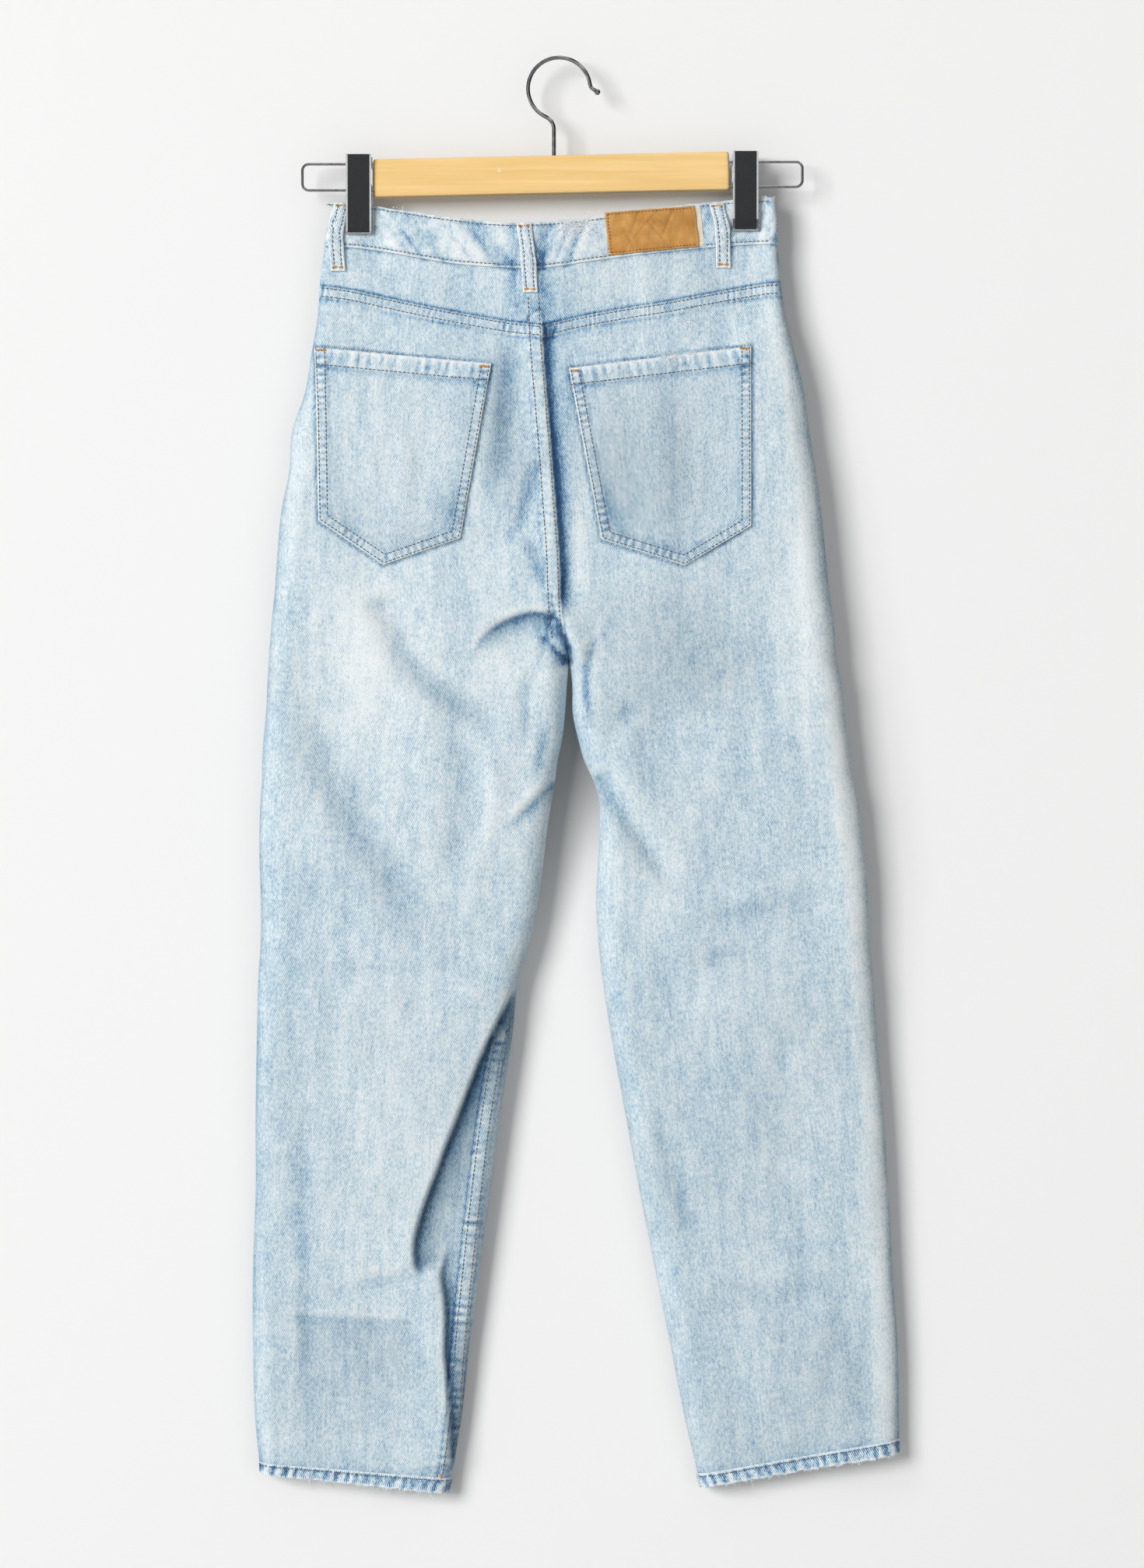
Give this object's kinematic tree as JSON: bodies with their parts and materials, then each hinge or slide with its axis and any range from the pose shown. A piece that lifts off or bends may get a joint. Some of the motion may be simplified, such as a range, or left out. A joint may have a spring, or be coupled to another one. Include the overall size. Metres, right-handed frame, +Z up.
{
  "type": "slim fit jeans on a clip hanger",
  "caption": "Light blue, straight and slim jeans, clipped by the waistband to a flat wooden hanger with a wire hook.",
  "frame": {"origin": "inside top of the hanger's hook, where the rod carries it", "axes": "+Z up; X across the garment, from its left side to its right side as worn; the back of the jeans faces -Y and the front +Y"},
  "size_m": [0.4989, 0.0376, 1.1073],
  "materials": {
    "denim": "very light blue bleached cotton twill, bluer at seams and folds",
    "denim_edge": "light blue denim, roped and rubbed white along its stitched edges",
    "pocket": "light blue bleached cotton twill",
    "leather": "tan, lightly creased leather, plain",
    "wood": "pale yellow lacquered wood with a fine straight grain",
    "chrome": "bright plated steel wire",
    "clip": "gloss black plate with bright edges",
    "brass": "aged brass"
  },
  "bodies": {
    "root": {"back_left": "denim", "back_right": "denim", "front_left": "denim", "front_right": "denim", "yoke_left": "denim", "yoke_right": "denim", "waistband_back": "denim", "waistband_front_left": "denim", "waistband_front_right": "denim", "hem_left": "denim_edge", "hem_right": "denim_edge", "belt_loop_left": "denim_edge", "belt_loop_middle": "denim_edge", "belt_loop_right": "denim_edge", "belt_loop_front_left": "denim_edge", "belt_loop_front_right": "denim_edge", "pocket_back_left": "pocket", "pocket_back_right": "pocket", "pocket_front_left": "pocket", "pocket_front_right": "pocket", "patch": "leather", "button": "brass", "hanger_bar": "wood", "hanger_hook": "chrome", "wire_loop_left": "chrome", "wire_loop_right": "chrome", "clip_left": "clip", "clip_right": "clip"}
  },
  "joints": []
}
